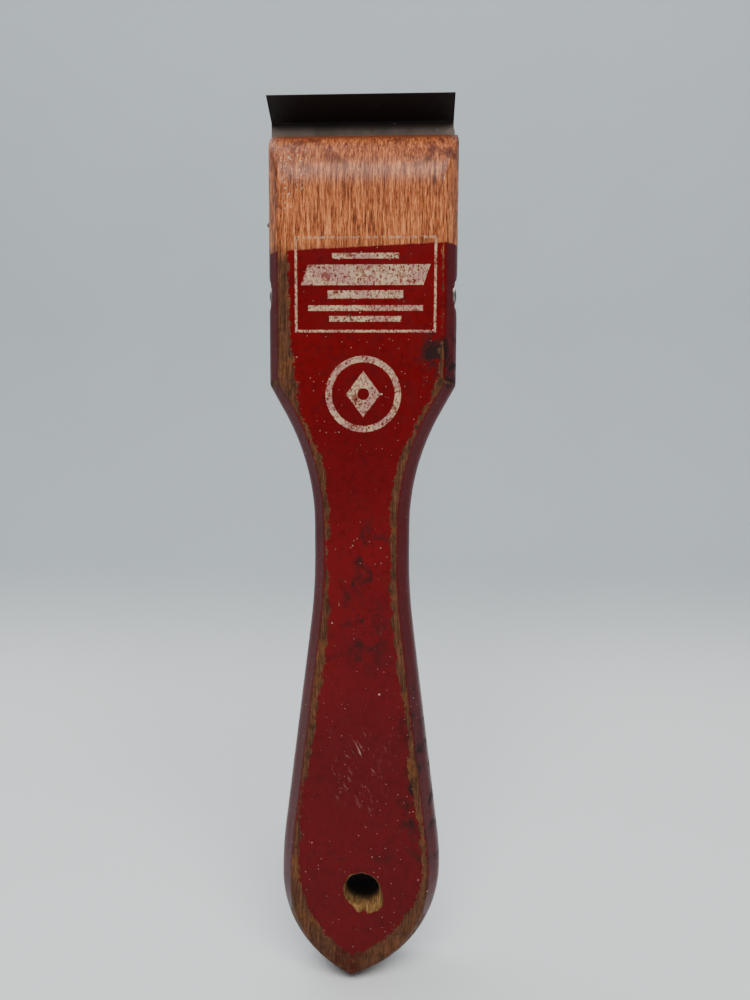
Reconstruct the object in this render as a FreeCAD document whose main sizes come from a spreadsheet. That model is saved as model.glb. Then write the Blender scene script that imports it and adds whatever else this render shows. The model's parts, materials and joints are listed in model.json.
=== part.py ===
import FreeCAD, Part
import math
import os

import Sketcher

# Hook wood scraper with a replaceable two-edged blade, in millimetres.
# +Z runs up the tool to the blade, the painted face looks along -Y and the blade lies on the +Y side.
# The origin is the middle of the waist, where the hand holds it.

size = {
    # wood outline, seen square to the painted face
    "half_stock": 11.0,
    "head_top_half": 31.9,
    "head_foot_half": 32.1,
    "shoulder_angle": 29.0,
    "shoulder_radius": 81.0,
    "waist_half": 16.7,
    "waist_top": 6.5,
    "waist_bottom": -4.0,
    "flare_radius": 200.0,
    "flare_angle": 7.2,
    "bulb_half": 28.95,
    "bulb_right": -119.0,
    "bulb_left": -123.5,
    "tip_shift": -3.3,
    "tip_level": -162.4,
    "tip_round": 6.0,
    # long bevels
    "bevel_face": 4.4,
    "bevel_side": 6.5,
    "bevel_blend": 8.0,
    # rounded nose under the hook
    "nose_end": 140.0,
    "nose_radius": 23.0,
    "nose_edge": 4.0,
    "nose_clear": 143.0,
    "front_clear": -14.0,
    # blade seat and the groove for the rear edge
    "seat_level": 9.0,
    "seat_foot": 68.0,
    "relief_level": 6.9,
    "relief_top": 86.5,
    "back_clear": 14.0,
    "groove_floor": -2.2,
    "groove_low": 107.6,
    "groove_high": 115.5,
    # cross pin and the ears of the cap
    "pin_level": 85.5,
    "pin_radius": 2.4,
    "pin_bore": 2.47,
    "pin_head_radius": 3.4,
    "pin_grip": 31.2,
    "pin_left_end": -32.4,
    "pin_right_end": 31.9,
    "ear_radius": 5.9,
    "ear_inside": 29.5,
    "ear_sheet": 1.6,
    "recess_floor": 29.4,
    "recess_radius": 6.1,
    "recess_swing": 8.5,
    "recess_reach": 4.0,
    # clamp cap
    "cap_half": 31.1,
    "cap_tail": 71.0,
    "cap_inside": 9.35,
    "cap_outside": 10.95,
    "step_start": 107.5,
    "step_end": 111.0,
    "step_offset": 0.6,
    "arch_inside": 10.65,
    "arch_outside": 12.25,
    "arch_end": 139.0,
    "lip_inside": 10.3,
    "lip_outside": 11.7,
    "cap_front": 145.4,
    "cap_tail_round": 6.0,
    "cap_front_round": 2.5,
    "cap_edge_round": 0.5,
    "cap_step_round": 1.5,
    # blade
    "blade_width": 63.5,
    "blade_shift": -1.2,
    "blade_front": 9.05,
    "blade_middle": 130.5,
    "blade_span": 31.54,
    "blade_sheet": 1.2,
    "hook_angle": 62.6,
    "hook_length": 11.5,
    "grind_angle": 45.0,
    "bend_inside": 0.6,
    "bend_outside": 1.8,
    # clamp screw, washer and insert
    "screw_level": 98.0,
    "screw_seat": 12.08,
    "screw_radius": 3.1,
    "screw_length": 15.5,
    "screw_point": 0.8,
    "screw_head_radius": 5.6,
    "screw_head_rim": 1.4,
    "screw_head_height": 3.4,
    "screw_head_crown": 3.6,
    "slot_half": 0.8,
    "slot_depth": 1.7,
    "slot_reach": 8.0,
    "washer_back": 11.0,
    "washer_bore": 3.35,
    "washer_radius": 6.5,
    "washer_sheet": 1.05,
    "cap_slot_radius": 3.45,
    "cap_slot_low": 97.8,
    "cap_slot_high": 99.8,
    "insert_top": 8.9,
    "insert_length": 12.0,
    "insert_radius": 4.75,
    "insert_root": 4.15,
    "insert_bore": 3.17,
    "ring_low": 2.6,
    "ring_middle": 1.9,
    "ring_high": 1.2,
    "ring_run": 7.8,
    "insert_hole": 4.8,
    "insert_floor": -3.2,
    "screw_hole": 3.3,
    "screw_floor": -6.0,
    # hang hole
    "hang_radius": 6.35,
    "hang_shift": 1.0,
    "hang_level": -125.1,
}

doc = FreeCAD.newDocument("HookScraper")


def makeSheet():
    sheet = doc.addObject("Spreadsheet::Sheet", "Sizes")
    for row, (alias, number) in enumerate(size.items(), start=1):
        sheet.set(f"A{row}", alias)
        sheet.set(f"B{row}", str(number))
        sheet.setAlias(f"B{row}", alias)
    doc.recompute()


def amount(words):
    # the number that a phrase such as "seat_level + cap_sheet" stands for
    total = 0.0
    sign = 1.0
    for word in words.split():
        if word in ("+", "-"):
            sign = 1.0 if word == "+" else -1.0
        else:
            total += sign * size[word]
    return total


def bound(words):
    # the same phrase as an expression on the sheet
    return " ".join(word if word in ("+", "-") else "Sizes." + word for word in words.split())


def makeBody(label):
    body = doc.addObject("PartDesign::Body", label)
    body.Label = label
    return body


def place(body, axis, words):
    body.setExpression("Placement.Base." + axis, bound(words))


def originPlane(body, role):
    return next(item for item in body.Origin.OriginFeatures if item.Role == role)


def makeSketch(body, name, role, lift=None):
    sketch = body.newObject("Sketcher::SketchObject", name)
    sketch.AttachmentSupport = [(originPlane(body, role), "")]
    sketch.MapMode = "FlatFace"
    if lift:
        sketch.setExpression("AttachmentOffset.Base.z", bound(lift))
    return sketch


def constrain(sketch, words, *arguments):
    # one driving dimension, tied to the sheet
    row = sketch.addConstraint(Sketcher.Constraint(*arguments, amount(words)))
    sketch.setExpression(f"Constraints[{row}]", bound(words))


def constrainAngle(sketch, line, start, alias, sign):
    degrees = start + sign * size[alias]
    row = sketch.addConstraint(Sketcher.Constraint("Angle", line, math.radians(degrees)))
    symbol = "+" if sign > 0 else "-"
    sketch.setExpression(f"Constraints[{row}]", f"({start} {symbol} Sizes.{alias}) * 1 deg")


def pin(sketch, item, end, across, up):
    # holds a point at its two coordinates; "0" is on the axis itself
    if across == "0":
        sketch.addConstraint(Sketcher.Constraint("PointOnObject", item, end, -2))
    else:
        constrain(sketch, across, "DistanceX", -1, 1, item, end)
    if up == "0":
        sketch.addConstraint(Sketcher.Constraint("PointOnObject", item, end, -1))
    else:
        constrain(sketch, up, "DistanceY", -1, 1, item, end)


def place2d(across, up):
    return FreeCAD.Vector(0 if across == "0" else amount(across), 0 if up == "0" else amount(up), 0)


def drawPolygon(sketch, corners):
    points = [place2d(*corner) for corner in corners]
    count = len(points)
    for row in range(count):
        sketch.addGeometry(Part.LineSegment(points[row], points[(row + 1) % count]), False)
    for row in range(count):
        sketch.addConstraint(Sketcher.Constraint("Coincident", row, 2, (row + 1) % count, 1))
    for row, corner in enumerate(corners):
        pin(sketch, row, 1, *corner)


def drawCircle(sketch, across, up, radius):
    circle = Part.Circle(place2d(across, up), FreeCAD.Vector(0, 0, 1), amount(radius))
    item = sketch.addGeometry(circle, False)
    pin(sketch, item, 3, across, up)
    constrain(sketch, radius, "Radius", item)


def addArc(sketch, middle, radius, start, end):
    circle = Part.Circle(FreeCAD.Vector(*middle, 0), FreeCAD.Vector(0, 0, 1), radius)
    return sketch.addGeometry(Part.ArcOfCircle(circle, start, end), False)


def addLine(sketch, start, end):
    return sketch.addGeometry(Part.LineSegment(FreeCAD.Vector(*start, 0), FreeCAD.Vector(*end, 0)), False)


def addPad(body, sketch, words, symmetric=False, flip=False):
    pad = body.newObject("PartDesign::Pad", sketch.Name + "Pad")
    pad.Profile = sketch
    pad.SideType = "Symmetric" if symmetric else "One side"
    pad.Reversed = flip
    pad.setExpression("Length", bound(words))
    doc.recompute()
    return pad


def addPocket(body, sketch, words=None, flip=False):
    # cuts right through both ways unless a depth is given
    before = body.Shape.Volume
    pocket = body.newObject("PartDesign::Pocket", sketch.Name + "Pocket")
    pocket.Profile = sketch
    pocket.Reversed = flip
    if words:
        pocket.setExpression("Length", bound(words))
    else:
        pocket.SideType = "Symmetric"
        pocket.Type = "ThroughAll"
    doc.recompute()
    if body.Shape.Volume > before - 0.5:
        raise RuntimeError(sketch.Name + " cut nothing")
    return pocket


def addRevolution(body, sketch, axis):
    turn = body.newObject("PartDesign::Revolution", sketch.Name + "Turn")
    turn.Profile = sketch
    turn.ReferenceAxis = (sketch, [axis])
    turn.Angle = 360.0
    doc.recompute()
    return turn


def addMirror(body, feature, role):
    mirror = body.newObject("PartDesign::Mirrored", feature.Name + "Mirror")
    mirror.Originals = [feature]
    mirror.MirrorPlane = (originPlane(body, role), [""])
    body.Tip = mirror
    doc.recompute()
    return mirror


def edgesWhere(shape, test):
    return [f"Edge{row}" for row, edge in enumerate(shape.Edges, start=1) if test(edge)]


def addFillet(body, base, test, words):
    fillet = body.newObject("PartDesign::Fillet", base.Name + "Round")
    fillet.Base = (base, edgesWhere(base.Shape, test))
    fillet.setExpression("Radius", bound(words))
    doc.recompute()
    return fillet


def runsAlong(edge, axis):
    first, last = edge.Vertexes[0].Point, edge.Vertexes[-1].Point
    others = [name for name in "xyz" if name != axis]
    same = all(abs(getattr(first, name) - getattr(last, name)) < 1e-4 for name in others)
    return same and abs(getattr(first, axis) - getattr(last, axis)) > 1e-3


def near(edge, axis, level):
    # the whole edge lies at one level
    box = edge.BoundBox
    low = getattr(box, axis.upper() + "Min")
    high = getattr(box, axis.upper() + "Max")
    return abs(low - level) < 1e-3 and abs(high - level) < 1e-3


def drawHandleSide(sketch, side):
    # one edge of the outline from the top of the head to the tip: side is 1 on the right, -1 on the left
    turn = math.radians(size["shoulder_angle"])
    flare = math.radians(size["flare_angle"])
    waist = size["waist_half"]
    shoulder = size["shoulder_radius"]
    sweep = size["flare_radius"]
    bulb = size["bulb_half"]
    bulbLevel = size["bulb_right"] if side > 0 else size["bulb_left"]
    bendTop = (waist + shoulder * (1 - math.cos(turn)), size["waist_top"] + shoulder * math.sin(turn))
    foot = size["head_foot_half"]
    corner = (foot, bendTop[1] + (foot - bendTop[0]) / math.tan(turn))
    bendLow = (waist + sweep * (1 - math.cos(flare)), size["waist_bottom"] - sweep * math.sin(flare))
    fall = bendLow[1] - bulbLevel
    bulge = math.tan(flare) * fall - (bulb - bendLow[0])
    bulge /= math.sin(flare) * math.tan(flare) - (1 - math.cos(flare))
    bulbTop = (bulb - bulge * (1 - math.cos(flare)), bulbLevel + bulge * math.sin(flare))
    reach = bulb - side * size["tip_shift"]
    drop = bulbLevel - size["tip_level"]
    butt = (reach * reach + drop * drop) / (2 * reach)
    close = math.asin(drop / butt)

    def at(point):
        return (side * point[0], point[1])

    def arc(middle, radius, start, end):
        # start and end are given for the right side and swap over on the left
        if side > 0:
            return addArc(sketch, middle, radius, start, end)
        return addArc(sketch, at(middle), radius, math.pi - end, math.pi - start)

    early, late = (1, 2) if side > 0 else (2, 1)
    head = addLine(sketch, at((size["head_top_half"], size["nose_end"])), at(corner))
    run = addLine(sketch, at(bendTop), at(corner))
    upper = arc((waist + shoulder, size["waist_top"]), shoulder, math.pi - turn, math.pi)
    grip = addLine(sketch, at((waist, size["waist_top"])), at((waist, size["waist_bottom"])))
    lower = arc((waist + sweep, size["waist_bottom"]), sweep, math.pi, math.pi + flare)
    swell = addLine(sketch, at(bulbTop), at(bendLow))
    crown = arc((bulb - bulge, bulbLevel), bulge, 0, flare)
    end = arc((bulb - butt, bulbLevel), butt, -close, 0)
    sketch.addConstraint([
        Sketcher.Constraint("Coincident", head, 2, run, 2),
        Sketcher.Constraint("Tangent", run, 1, upper, early),
        Sketcher.Constraint("Tangent", upper, late, grip, 1),
        Sketcher.Constraint("Tangent", grip, 2, lower, early),
        Sketcher.Constraint("Tangent", lower, late, swell, 2),
        Sketcher.Constraint("Tangent", swell, 1, crown, late),
        Sketcher.Constraint("Tangent", crown, early, end, late),
        Sketcher.Constraint("Horizontal", crown, 3, crown, early),
    ])
    return {"head": head, "run": run, "upper": upper, "grip": grip, "lower": lower,
            "swell": swell, "crown": crown, "crownEnd": early, "end": end, "tip": early}


def drawHandleOutline(sketch):
    top = size["nose_end"]
    half = size["head_top_half"]
    bar = addLine(sketch, (-half, top), (half, top))
    right = drawHandleSide(sketch, 1)
    left = drawHandleSide(sketch, -1)
    # the right side carries the dimensions
    pin(sketch, bar, 2, "head_top_half", "nose_end")
    constrain(sketch, "head_foot_half", "DistanceX", -1, 1, right["head"], 2)
    constrainAngle(sketch, right["run"], 90.0, "shoulder_angle", -1)
    constrain(sketch, "shoulder_radius", "Radius", right["upper"])
    pin(sketch, right["grip"], 1, "waist_half", "waist_top")
    sketch.addConstraint(Sketcher.Constraint("Vertical", right["grip"]))
    constrain(sketch, "waist_bottom", "DistanceY", -1, 1, right["grip"], 2)
    constrain(sketch, "flare_radius", "Radius", right["lower"])
    constrainAngle(sketch, right["swell"], 90.0, "flare_angle", 1)
    pin(sketch, right["crown"], right["crownEnd"], "bulb_half", "bulb_right")
    pin(sketch, right["end"], right["tip"], "tip_shift", "tip_level")
    # the left side mirrors it down to the flare, swells a little lower and runs to the same tip
    constrainAngle(sketch, left["swell"], 90.0, "flare_angle", -1)
    pin(sketch, left["crown"], left["crownEnd"], "- bulb_half", "bulb_left")
    sketch.addConstraint([
        Sketcher.Constraint("Coincident", bar, 2, right["head"], 1),
        Sketcher.Constraint("Coincident", bar, 1, left["head"], 1),
        Sketcher.Constraint("Coincident", right["end"], right["tip"], left["end"], left["tip"]),
        Sketcher.Constraint("Symmetric", bar, 1, bar, 2, -2),
        Sketcher.Constraint("Symmetric", right["head"], 2, left["head"], 2, -2),
        Sketcher.Constraint("Symmetric", right["grip"], 1, left["grip"], 1, -2),
        Sketcher.Constraint("Symmetric", right["grip"], 2, left["grip"], 2, -2),
        Sketcher.Constraint("Equal", right["upper"], left["upper"]),
        Sketcher.Constraint("Equal", right["lower"], left["lower"]),
    ])


def drawNose(sketch):
    # everything in front of the rounded nose
    radius = size["nose_radius"]
    middle = (radius - size["half_stock"], size["nose_end"])
    lean = math.acos((middle[0] - size["nose_edge"]) / radius)
    start = size["nose_end"] - radius * math.sin(lean)
    middle = (middle[0], start)
    arc = addArc(sketch, middle, radius, math.pi - lean, math.pi)
    corners = [(-size["half_stock"], start), (size["front_clear"], start),
               (size["front_clear"], size["nose_clear"]), (size["nose_edge"], size["nose_clear"]),
               (size["nose_edge"], size["nose_end"])]
    lines = [addLine(sketch, corners[row], corners[row + 1]) for row in range(4)]
    sketch.addConstraint([
        Sketcher.Constraint("Coincident", arc, 2, lines[0], 1),
        Sketcher.Constraint("Coincident", lines[0], 2, lines[1], 1),
        Sketcher.Constraint("Coincident", lines[1], 2, lines[2], 1),
        Sketcher.Constraint("Coincident", lines[2], 2, lines[3], 1),
        Sketcher.Constraint("Coincident", lines[3], 2, arc, 1),
        Sketcher.Constraint("Horizontal", arc, 3, arc, 2),
        Sketcher.Constraint("Horizontal", lines[0]),
        Sketcher.Constraint("Vertical", lines[1]),
        Sketcher.Constraint("Horizontal", lines[2]),
        Sketcher.Constraint("Vertical", lines[3]),
    ])
    constrain(sketch, "nose_radius", "Radius", arc)
    constrain(sketch, "- half_stock", "DistanceX", -1, 1, arc, 2)
    pin(sketch, arc, 1, "nose_edge", "nose_end")
    pin(sketch, lines[2], 1, "front_clear", "nose_clear")


def drawEar(sketch, radius, reach, swing=None):
    # a round-ended tongue about the cross pin; swing leans the lower side for the cap's tilt
    level = size["pin_level"]
    lean = math.radians(size[swing]) if swing else 0.0
    far = amount(reach)
    wide = amount(radius)
    foot = (-wide * math.sin(lean), level - wide * math.cos(lean))
    low = (far, foot[1] - (far - foot[0]) * math.tan(lean))
    arc = addArc(sketch, (0, level), wide, math.pi / 2, 1.5 * math.pi - lean)
    upper = addLine(sketch, (0, level + wide), (far, level + wide))
    back = addLine(sketch, (far, level + wide), low)
    lower = addLine(sketch, low, foot)
    sketch.addConstraint([
        Sketcher.Constraint("Tangent", arc, 1, upper, 1),
        Sketcher.Constraint("Coincident", upper, 2, back, 1),
        Sketcher.Constraint("Coincident", back, 2, lower, 1),
        Sketcher.Constraint("Tangent", lower, 2, arc, 2),
        Sketcher.Constraint("Horizontal", upper),
        Sketcher.Constraint("Vertical", back),
    ])
    pin(sketch, arc, 3, "0", "pin_level")
    constrain(sketch, radius, "Radius", arc)
    constrain(sketch, reach, "DistanceX", -1, 1, upper, 2)
    if swing:
        constrainAngle(sketch, lower, 180.0, swing, -1)
    else:
        sketch.addConstraint(Sketcher.Constraint("Horizontal", lower))


def rimsOf(shape, face):
    # the edges round the painted face and the back, without the top ones
    # the wide length of the bevel lies on the flat faces, so the edges that name a flat face first lead
    def onRim(edge):
        return not near(edge, "z", size["nose_end"]) and (near(edge, "y", face) or near(edge, "y", -face))

    def flatComesLater(name):
        first = shape.ancestorsOfType(shape.getElement(name), Part.Face)[0]
        return first.BoundBox.YLength > 1e-3

    return sorted(edgesWhere(shape, onRim), key=flatComesLater)


def makeHandle():
    body = makeBody("handle")
    outline = makeSketch(body, "WoodOutline", "XZ_Plane")
    drawHandleOutline(outline)
    slab = addPad(body, outline, "half_stock + half_stock", symmetric=True)
    face = size["half_stock"]
    side = face - size["bevel_side"]
    tip = addFillet(body, slab, lambda edge: runsAlong(edge, "y") and near(edge, "z", size["tip_level"]),
                    "tip_round")
    bevel = body.newObject("PartDesign::Chamfer", "LongBevels")
    bevel.Base = (tip, rimsOf(tip.Shape, face))
    bevel.ChamferType = "Two distances"
    bevel.setExpression("Size", bound("bevel_face"))
    bevel.setExpression("Size2", bound("bevel_side"))
    doc.recompute()
    addFillet(body, bevel, lambda edge: near(edge, "y", side) or near(edge, "y", -side), "bevel_blend")
    nose = makeSketch(body, "NoseCurve", "YZ_Plane")
    drawNose(nose)
    addPocket(body, nose)
    seat = makeSketch(body, "BladeSeat", "YZ_Plane")
    drawPolygon(seat, [("relief_level", "seat_foot"), ("back_clear", "seat_foot"),
                       ("back_clear", "nose_clear"), ("seat_level", "nose_clear"),
                       ("seat_level", "relief_top")])
    addPocket(body, seat)
    groove = makeSketch(body, "RearEdgeGroove", "YZ_Plane")
    drawPolygon(groove, [("groove_floor", "groove_low"), ("back_clear", "groove_low"),
                         ("back_clear", "groove_high"), ("groove_floor", "groove_high")])
    addPocket(body, groove)
    recess = makeSketch(body, "EarRecess", "YZ_Plane", "recess_floor")
    drawEar(recess, "recess_radius", "back_clear", "recess_swing")
    cut = addPocket(body, recess, "recess_reach", flip=True)
    addMirror(body, cut, "YZ_Plane")
    bore = makeSketch(body, "PinBore", "YZ_Plane")
    drawCircle(bore, "0", "pin_level", "pin_bore")
    addPocket(body, bore)
    hang = makeSketch(body, "HangHole", "XZ_Plane")
    drawCircle(hang, "hang_shift", "hang_level", "hang_radius")
    addPocket(body, hang)
    for name, radius, floor in (("InsertHole", "insert_hole", "insert_floor"),
                                ("ScrewHole", "screw_hole", "screw_floor")):
        hole = makeSketch(body, name, "XZ_Plane", "- back_clear")
        drawCircle(hole, "0", "screw_level", radius)
        addPocket(body, hole, "back_clear - " + floor, flip=True)
    return body


def makeBlade():
    body = makeBody("blade")
    place(body, "x", "blade_shift")
    place(body, "y", "blade_front")
    place(body, "z", "blade_middle")
    sheet = size["blade_sheet"]
    half = size["blade_span"] / 2
    hook = math.radians(size["hook_angle"])
    grind = math.radians(size["grind_angle"])
    along = (-math.sin(hook), math.cos(hook))
    across = (math.cos(hook), math.sin(hook))
    bend = (0.0, half)
    edge = (along[0] * size["hook_length"], half + along[1] * size["hook_length"])
    left = size["hook_length"] - sheet / math.tan(grind)
    heel = (sheet * across[0] + left * along[0], half + sheet * across[1] + left * along[1])
    outer = (sheet, half + sheet * math.tan(hook / 2))
    profile = makeSketch(body, "BladeSection", "YZ_Plane")
    ring = [(0.0, -half), bend, edge, heel, outer]
    ring += [(point[0], -point[1]) for point in (outer, heel, edge)]
    for row in range(8):
        addLine(profile, ring[row], ring[(row + 1) % 8])
    for row in range(8):
        profile.addConstraint(Sketcher.Constraint("Coincident", row, 2, (row + 1) % 8, 1))
    profile.addConstraint([
        Sketcher.Constraint("PointOnObject", 0, 1, -2),
        Sketcher.Constraint("Symmetric", 0, 1, 0, 2, -1),
        Sketcher.Constraint("Parallel", 1, 3),
        Sketcher.Constraint("Symmetric", 1, 2, 7, 1, -1),
        Sketcher.Constraint("Symmetric", 2, 2, 6, 1, -1),
        Sketcher.Constraint("Symmetric", 3, 2, 5, 1, -1),
    ])
    constrain(profile, "blade_span", "DistanceY", 0, 1, 0, 2)
    constrain(profile, "hook_length", "Distance", 1)
    constrainAngle(profile, 1, 90.0, "hook_angle", 1)
    row = profile.addConstraint(Sketcher.Constraint("Angle", 2, hook - grind))
    profile.setExpression(f"Constraints[{row}]", "(Sizes.hook_angle - Sizes.grind_angle) * 1 deg")
    constrain(profile, "blade_sheet", "DistanceX", -1, 1, 3, 2)
    constrain(profile, "blade_sheet", "Distance", 0, 2, 3)
    strip = addPad(body, profile, "blade_width", symmetric=True)


    def bendAt(level, height):
        return lambda edge: (runsAlong(edge, "x") and near(edge, "y", level)
                             and abs(abs(edge.CenterOfMass.z) - height) < 1e-3)

    inner = addFillet(body, strip, bendAt(0.0, half), "bend_inside")
    addFillet(body, inner, bendAt(sheet, outer[1]), "bend_outside")
    return body


def makeCap():
    body = makeBody("clamp_cap")
    profile = makeSketch(body, "CapSection", "YZ_Plane")
    drawPolygon(profile, [("cap_inside", "cap_tail"), ("cap_inside", "step_start"),
                          ("arch_inside", "step_end"), ("arch_inside", "arch_end"),
                          ("lip_inside", "cap_front"), ("lip_outside", "cap_front"),
                          ("arch_outside", "arch_end"), ("arch_outside", "step_end - step_offset"),
                          ("cap_outside", "step_start - step_offset"), ("cap_outside", "cap_tail")])
    plate = addPad(body, profile, "cap_half + cap_half", symmetric=True)
    ear = makeSketch(body, "Ear", "YZ_Plane", "ear_inside")
    drawEar(ear, "ear_radius", "cap_inside + ear_sheet")
    tab = addPad(body, ear, "ear_sheet")
    ears = addMirror(body, tab, "YZ_Plane")
    bore = makeSketch(body, "EarBore", "YZ_Plane")
    drawCircle(bore, "0", "pin_level", "pin_bore")
    bored = addPocket(body, bore)
    slot = makeSketch(body, "ScrewSlot", "XZ_Plane")
    radius = size["cap_slot_radius"]
    low, high = size["cap_slot_low"], size["cap_slot_high"]
    head = addArc(slot, (0, high), radius, 0, math.pi)
    foot = addArc(slot, (0, low), radius, math.pi, 2 * math.pi)
    left = addLine(slot, (-radius, high), (-radius, low))
    right = addLine(slot, (radius, low), (radius, high))
    slot.addConstraint([
        Sketcher.Constraint("Tangent", head, 2, left, 1),
        Sketcher.Constraint("Tangent", left, 2, foot, 1),
        Sketcher.Constraint("Tangent", foot, 2, right, 1),
        Sketcher.Constraint("Tangent", right, 2, head, 1),
        Sketcher.Constraint("Equal", head, foot),
    ])
    pin(slot, head, 3, "0", "cap_slot_high")
    pin(slot, foot, 3, "0", "cap_slot_low")
    constrain(slot, "cap_slot_radius", "Radius", head)
    slotted = addPocket(body, slot)

    def corner(level):
        return lambda edge: (runsAlong(edge, "y") and near(edge, "z", level)
                             and abs(abs(edge.CenterOfMass.x) - size["cap_half"]) < 1e-3)

    def onStep(edge):
        middle = (size["step_start"] + size["step_end"]) / 2
        return runsAlong(edge, "x") and abs(edge.CenterOfMass.z - middle) < 3

    def onRim(edge):
        # the outer edge of the plate all round, but for the front that bears on the blade
        middle = edge.CenterOfMass
        return (abs(middle.x) > size["cap_half"] - size["cap_tail_round"] + 1 and not runsAlong(edge, "y")
                and middle.y > size["cap_outside"] - 0.05 and middle.z < size["cap_front"] - 0.01)

    tail = addFillet(body, slotted, corner(size["cap_tail"]), "cap_tail_round")
    front = addFillet(body, tail, corner(size["cap_front"]), "cap_front_round")
    joggle = addFillet(body, front, onStep, "cap_step_round")
    addFillet(body, joggle, onRim, "cap_edge_round")
    return body


def makeCrossPin():
    body = makeBody("cross_pin")
    place(body, "z", "pin_level")
    profile = makeSketch(body, "PinSection", "XY_Plane")
    left, right = size["pin_left_end"], size["pin_right_end"]
    grip, shank, wide = size["pin_grip"], size["pin_radius"], size["pin_head_radius"]

    def dome(end):
        # the arc through the head's rim, with its crown on the axis
        rise = abs(end) - grip
        radius = (wide * wide + rise * rise) / (2 * rise)
        middle = math.copysign(abs(end) - radius, end)
        return middle, radius, math.asin(wide / radius)

    rightMiddle, rightRadius, rightHalf = dome(right)
    leftMiddle, leftRadius, leftHalf = dome(left)
    axis = addLine(profile, (left, 0), (right, 0))
    rightDome = addArc(profile, (rightMiddle, 0), rightRadius, 0, rightHalf)
    rightStep = addLine(profile, (grip, wide), (grip, shank))
    shaft = addLine(profile, (grip, shank), (-grip, shank))
    leftStep = addLine(profile, (-grip, shank), (-grip, wide))
    leftDome = addArc(profile, (leftMiddle, 0), leftRadius, math.pi - leftHalf, math.pi)
    profile.addConstraint([
        Sketcher.Constraint("Coincident", axis, 2, rightDome, 1),
        Sketcher.Constraint("Coincident", rightDome, 2, rightStep, 1),
        Sketcher.Constraint("Coincident", rightStep, 2, shaft, 1),
        Sketcher.Constraint("Coincident", shaft, 2, leftStep, 1),
        Sketcher.Constraint("Coincident", leftStep, 2, leftDome, 1),
        Sketcher.Constraint("Coincident", leftDome, 2, axis, 1),
        Sketcher.Constraint("PointOnObject", rightDome, 3, -1),
        Sketcher.Constraint("PointOnObject", leftDome, 3, -1),
    ])
    pin(profile, axis, 1, "pin_left_end", "0")
    pin(profile, axis, 2, "pin_right_end", "0")
    pin(profile, rightStep, 1, "pin_grip", "pin_head_radius")
    pin(profile, shaft, 1, "pin_grip", "pin_radius")
    pin(profile, leftStep, 1, "- pin_grip", "pin_radius")
    pin(profile, leftStep, 2, "- pin_grip", "pin_head_radius")
    addRevolution(body, profile, "H_Axis")
    return body


def makeScrew():
    # the underside of the head is at the body's own origin and the shank runs down -Y
    body = makeBody("clamp_screw")
    place(body, "y", "screw_seat")
    place(body, "z", "screw_level")
    profile = makeSketch(body, "ScrewSection", "XY_Plane")
    drawPolygon(profile, [("0", "- screw_length"), ("screw_radius - screw_point", "- screw_length"),
                          ("screw_radius", "screw_point - screw_length"), ("screw_radius", "0"),
                          ("screw_head_radius", "0"), ("screw_head_radius", "screw_head_rim"),
                          ("screw_head_crown", "screw_head_height"), ("0", "screw_head_height")])
    addRevolution(body, profile, "V_Axis")
    slot = makeSketch(body, "DriverSlot", "XZ_Plane", "- screw_head_height")
    drawPolygon(slot, [("- slot_reach", "- slot_half"), ("slot_reach", "- slot_half"),
                       ("slot_reach", "slot_half"), ("- slot_reach", "slot_half")])
    addPocket(body, slot, "slot_depth", flip=True)
    return body


def makeWasher():
    body = makeBody("screw_washer")
    place(body, "y", "washer_back")
    place(body, "z", "screw_level")
    profile = makeSketch(body, "WasherSection", "XY_Plane")
    drawPolygon(profile, [("washer_bore", "0"), ("washer_radius", "0"),
                          ("washer_radius", "washer_sheet"), ("washer_bore", "washer_sheet")])
    addRevolution(body, profile, "V_Axis")
    return body


def makeInsert():
    # a sleeve with coarse rings that bite the wood
    body = makeBody("threaded_insert")
    place(body, "y", "insert_top")
    place(body, "z", "screw_level")
    profile = makeSketch(body, "InsertSection", "XY_Plane")
    drawPolygon(profile, [("insert_bore", "- insert_length"), ("insert_radius", "- insert_length"),
                          ("insert_radius", "0"), ("insert_bore", "0")])
    addRevolution(body, profile, "V_Axis")
    ring = makeSketch(body, "InsertRing", "XY_Plane")
    drawPolygon(ring, [("insert_radius", "- ring_low"), ("insert_radius", "- ring_high"),
                       ("insert_root", "- ring_middle")])
    groove = body.newObject("PartDesign::Groove", "RingGroove")
    groove.Profile = ring
    groove.ReferenceAxis = (ring, ["V_Axis"])
    groove.Angle = 360.0
    doc.recompute()
    rings = body.newObject("PartDesign::LinearPattern", "Rings")
    rings.Originals = [groove]
    rings.Direction = (ring, ["V_Axis"])
    rings.Reversed = True
    rings.setExpression("Length", bound("ring_run"))
    rings.Occurrences = 4
    body.Tip = rings
    doc.recompute()
    return body


def checkAndWrite(bodies):
    doc.recompute()
    for item in doc.Objects:
        if "Invalid" in item.State or "Error" in item.State:
            raise RuntimeError(f"{item.Name} is {item.State}")
    for body in bodies:
        shape = body.Shape
        if shape.isNull() or not shape.isValid() or len(shape.Solids) != 1:
            raise RuntimeError(body.Label + " is not one valid solid")
    os.makedirs("parts", exist_ok=True)
    for body in bodies:
        body.Shape.exportStep(f"parts/{body.Label}.step")
        print(f"{body.Label}: {body.Shape.Volume / 1000:.2f} cm3")


makeSheet()
wooden = [makeHandle(), makeInsert(), makeCrossPin()]
clamped = [makeBlade(), makeCap(), makeScrew(), makeWasher()]
checkAndWrite(wooden + clamped)
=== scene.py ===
import json
import math

import bmesh
import bpy
from mathutils import Matrix, Vector, kdtree, noise


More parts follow.
